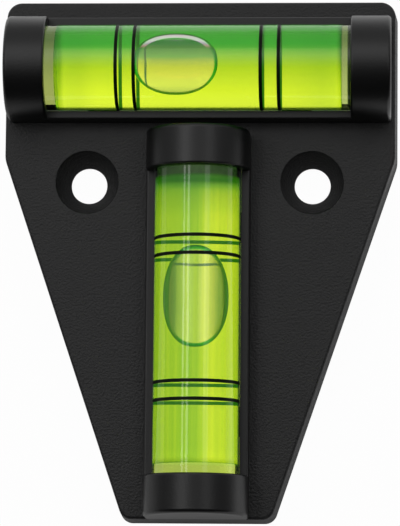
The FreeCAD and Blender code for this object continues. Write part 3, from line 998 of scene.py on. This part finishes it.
@dataclass(frozen=True)
class Studio:
    """The white floor, the room's light and the soft lamps."""

    lamps: tuple[Softbox, ...]
    sky_by_y: Stops
    sky_by_x: Stops
    floor_half: float = 2.0
    floor_drop: float = 0.02 * MM
    floor_colour: Colour = (0.9, 0.9, 0.9)
    floor_white: float = 0.975
    glossy_share: float = 0.15
    bright_share: float = 0.95
    bright_starts: tuple[float, float] = (26.8 * MM, 35.5 * MM)
    bright_rise: float = 2.0 * MM
    bright_fall: tuple[float, float] = (25.0 * MM, 60.0 * MM)
    cover_margin: float = 0.8 * MM

    def build_floor(self) -> None:
        """Lay the floor: white, with the level's shadow, and clear from below."""
        half = self.floor_half
        plan = ((-half, -half), (half, -half), (half, half), (-half, half))
        corners = [(x, y, -self.floor_drop) for x, y in plan]
        mesh = bpy.data.meshes.new("floor")
        mesh.from_pydata(corners, [], [(0, 1, 2, 3)])
        floor = bpy.data.objects.new("floor", mesh)
        bpy.context.scene.collection.objects.link(floor)
        material, graph = new_material("white_floor")
        plain = graph.node("ShaderNodeBsdfDiffuse", {}, {"Color": self.floor_colour})
        glow = graph.node("ShaderNodeEmission")
        starts = enumerate(self.bright_starts)
        right, far = [self.band(graph, axis, start) for axis, start in starts]
        gain = right.math("MAXIMUM", far) * (self.bright_share - self.glossy_share)
        mirrored = graph.node("ShaderNodeLightPath", {}, {}, "Is Glossy Ray")
        mirrored = mirrored * (self.glossy_share + gain)
        straight = self.seen(graph, 1 - self.covered(graph))
        share = straight.math("MAXIMUM", mirrored) * self.floor_white
        both = graph.node("ShaderNodeMixShader", {}, {0: share, 1: plain, 2: glow})
        below = graph.node("ShaderNodeNewGeometry", {}, {}, "Backfacing")
        clear = graph.node("ShaderNodeBsdfTransparent")
        surface = graph.node("ShaderNodeMixShader", {}, {0: below, 1: both, 2: clear})
        graph.node("ShaderNodeOutputMaterial", {}, {"Surface": surface})
        mesh.materials.append(material)

    def band(self, graph: Graph, axis: int, start: float) -> Wire:
        """A strip of floor beside the level, which is brighter when mirrored in the plastic.

        Args:
            graph: The floor's graph.
            axis: The axis on which it starts and ends.
            start: Where it starts, in metres.

        Returns:
            1 in the strip, and 0 away from it.
        """
        along = graph.place().part(axis)
        near, gone = [start + reach for reach in self.bright_fall]
        return along.ramp(start, start + self.bright_rise) * (1 - along.ramp(near, gone))

    def covered(self, graph: Graph) -> Wire:
        """Find where a vial covers the floor, whose white isn't to show beside it.

        Args:
            graph: The floor's graph.

        Returns:
            1 under a vial and just beside it, and 0 elsewhere.
        """
        where = graph.place()
        total: Any = 0.0
        for name in ("cross", "stem"):
            low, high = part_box(f"{name}_vial_tube")
            inside: Any = 1.0
            for axis in (0, 1):
                middle, half = (low[axis] + high[axis]) / 2, (high[axis] - low[axis]) / 2
                off_middle = (where.part(axis) - middle).math("ABSOLUTE")
                inside = off_middle.math("LESS_THAN", half + self.cover_margin) * inside
            total = inside + total
        return total.math("MINIMUM", 1.0)

    def seen(self, graph: Graph, direct_share: Any = 1.0) -> Wire:
        """Whether a ray comes straight from the camera or through clear parts.

        Args:
            graph: The graph of the floor or the sky.
            direct_share: How much of the straight view counts.

        Returns:
            1 through clear parts, the share in the straight view, and 0 elsewhere.
        """
        direct = graph.node("ShaderNodeLightPath", {}, {}, "Is Camera Ray") * direct_share
        through = graph.node("ShaderNodeLightPath", {}, {}, "Is Transmission Ray")
        return direct.math("MAXIMUM", through)

    def build_sky(self) -> None:
        """Light the room by a sky that darkens towards its sides, with a white background."""
        world = bpy.data.worlds.new("studio")
        world.use_nodes = True
        bpy.context.scene.world = world
        graph = Graph(world.node_tree)
        way = graph.node("ShaderNodeTexCoord", {}, {}, "Generated")
        upward = graph.colours(way.part(1) * 0.5 + 0.5, self.sky_by_y)
        light = graph.multiply(upward, graph.colours(way.part(0) * 0.5 + 0.5, self.sky_by_x))
        colour = graph.mix(self.seen(graph), light, WHITE)
        shine = graph.node("ShaderNodeBackground", {}, {"Color": colour})
        graph.node("ShaderNodeOutputWorld", {}, {"Surface": shine})

    def build(self) -> None:
        """Set the studio up."""
        self.build_floor()
        self.build_sky()
        for lamp in self.lamps:
            lamp.build()
        bpy.context.scene.view_settings.view_transform = "Standard"
        LOG.info("studio built")


@dataclass(frozen=True)
class Camera:
    """The camera, where the photograph was taken from."""

    place: Triple = (26.13 * MM, -54.7 * MM, 452.5 * MM)
    turn: Triple = (0.121, 0.057, 0.009)
    focal_px: float = 3368.7
    clip_start: float = 0.01

    def build(self) -> None:
        """Set the camera up."""
        data = bpy.data.cameras.new("camera")
        data.sensor_width = SENSOR_MM
        data.lens = self.focal_px * SENSOR_MM / FRAME_HEIGHT_PX
        data.clip_start = self.clip_start
        camera = bpy.data.objects.new("camera", data)
        camera.location = self.place
        camera.rotation_euler = self.turn
        bpy.context.scene.collection.objects.link(camera)
        bpy.context.scene.camera = camera


CROSS_LIQUID = VialLiquid(
    stops=(
        (0.0, srgb(255, 255, 80)),
        (0.4, srgb(215, 220, 30)),
        (0.65, srgb(140, 170, 40)),
        (0.75, srgb(45, 140, 35)),
        (1.0, srgb(60, 130, 40)),
    ),
    along_painted_shade=(
        (0.0, (0.95, 0.98, 1.0)),
        (0.04, (0.86, 0.9, 1.0)),
        (0.08, (0.86, 0.88, 0.95)),
        (0.14, (1.0, 1.0, 1.0)),
        (0.67, (0.96, 0.96, 1.0)),
        (0.83, (0.9, 0.91, 0.96)),
        (0.93, (0.78, 0.82, 0.9)),
        (0.975, (0.82, 0.86, 0.9)),
        (1.0, (1.0, 1.0, 0.9)),
    ),
)
STEM_LIQUID = VialLiquid(
    stops=(
        (0.0, srgb(180, 190, 35)),
        (0.5, srgb(170, 190, 40)),
        (0.65, srgb(235, 230, 55)),
        (1.0, srgb(200, 205, 30)),
    ),
    along_painted_shade=(
        (0.0, (1.0, 1.0, 1.0)),
        (0.06, (0.9, 0.92, 0.95)),
        (0.854, (0.88, 0.88, 0.95)),
        (0.893, (0.72, 0.76, 0.85)),
        (0.932, (0.6, 0.65, 0.8)),
        (0.961, (0.42, 0.54, 0.75)),
        (0.977, (0.12, 0.24, 0.6)),
        (1.0, (0.1, 0.12, 0.6)),
    ),
)
CROSS_ACRYLIC = ClearAcrylic(
    low_end_painted_shading=(
        (0.0, srgb(180, 188, 95)),
        (0.25, srgb(183, 193, 100)),
        (0.5, srgb(146, 160, 88)),
        (0.75, srgb(78, 104, 50)),
        (1.0, srgb(120, 134, 90)),
    ),
    high_end_painted_shading=(
        (0.0, srgb(225, 235, 150)),
        (0.25, srgb(222, 233, 145)),
        (0.5, srgb(168, 182, 108)),
        (0.75, srgb(100, 126, 66)),
        (1.0, srgb(150, 166, 110)),
    ),
    collar_shadow_start=19.8 * MM,
)
STEM_ACRYLIC = ClearAcrylic(
    low_end_painted_shading=((0.0, srgb(158, 172, 80)), (0.5, srgb(167, 190, 70)), (1.0, srgb(188, 205, 75))),
    high_end_painted_shading=((0.0, srgb(26, 48, 24)), (0.5, srgb(50, 80, 34)), (1.0, srgb(24, 50, 20))),
    shade=(0.7, 0.85, 0.78),
    streak_size=0.6 * MM,
)
CROSS_AIR = AirBubble(
    stops=(
        (0.0, (0.6, 0.6, 0.8)),
        (0.12, (0.9, 0.84, 0.9)),
        (0.5, (1.0, 0.8, 1.0)),
        (0.7, (0.93, 0.62, 1.0)),
        (0.77, (0.74, 0.55, 0.9)),
        (0.835, (0.5, 0.28, 0.5)),
        (0.87, (0.6, 0.3, 0.6)),
        (0.93, (0.9, 0.35, 0.9)),
        (1.0, (0.9, 0.35, 0.9)),
    ),
    painted_reflection_stops=(
        (0.0, (0.01, 0.02, 0.1)),
        (0.35, (0.03, 0.02, 0.18)),
        (0.55, (0.05, 0.03, 0.2)),
        (0.72, (0.03, 0.01, 0.09)),
        (1.0, (0.03, 0.01, 0.09)),
    ),
    crest_painted_highlight=(3.0, 0.58, 3.8),
)
STEM_AIR = AirBubble(
    stops=(
        (0.0, (0.2, 0.15, 0.3)),
        (0.08, (0.22, 0.16, 0.45)),
        (0.105, (0.14, 0.15, 0.5)),
        (0.135, (0.25, 0.29, 0.6)),
        (0.167, (0.46, 0.5, 0.76)),
        (0.2, (0.6, 0.59, 0.83)),
        (0.3, (1.0, 0.94, 1.0)),
        (0.66, (1.0, 0.96, 1.0)),
        (0.76, (0.7, 0.68, 0.85)),
        (0.9, (0.33, 0.36, 0.6)),
        (1.0, (0.2, 0.2, 0.4)),
    ),
    painted_reflection_stops=(
        (0.0, (0.02, 0.03, 0.06)),
        (0.2, (0.05, 0.05, 0.13)),
        (0.4, (0.13, 0.1, 0.3)),
        (0.5, (0.06, 0.04, 0.06)),
        (0.6, (0.06, 0.04, 0.26)),
        (0.8, (0.05, 0.05, 0.14)),
        (1.0, (0.02, 0.04, 0.05)),
    ),
)
LAMPS = (
    Softbox("left_strip", (-0.28, 0.05, 0.45), (0.05, 0.3), 2.6),
    Softbox("near_left_strip", (-0.165, 0.05, 0.45), (0.05, 0.3), 2.4),
    Softbox("right_strip", (0.24, 0.05, 0.45), (0.12, 0.3), 0.9),
    Softbox("far_box", (0.0, 0.3, 0.45), (0.4, 0.2), 0.3),
)
SKY_BY_Y = greys(
    (0.0, 0.03),
    (0.42, 0.05),
    (0.49, 0.25),
    (0.56, 0.55),
    (0.65, 1.0),
    (0.78, 0.95),
    (0.88, 0.57),
    (1.0, 0.45),
)
SKY_BY_X = greys(
    (0.0, 0.5),
    (0.1, 0.65),
    (0.3, 1.0),
    (0.5, 1.0),
    (0.7, 0.85),
    (0.9, 0.5),
    (1.0, 0.45),
)


def main() -> None:
    """Build the level and its studio in order."""
    logging.basicConfig(level=logging.INFO, format="%(message)s")
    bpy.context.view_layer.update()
    Camera().build()
    Shell().build()
    barrel = BarrelTree()
    Vial("cross", Lay.ALONG_X, CROSS_ACRYLIC, CROSS_LIQUID, CROSS_AIR, barrel).build()
    Vial("stem", Lay.ALONG_Y, STEM_ACRYLIC, STEM_LIQUID, STEM_AIR, barrel).build()
    Studio(LAMPS, SKY_BY_Y, SKY_BY_X).build()


if __name__ == "__main__":
    main()
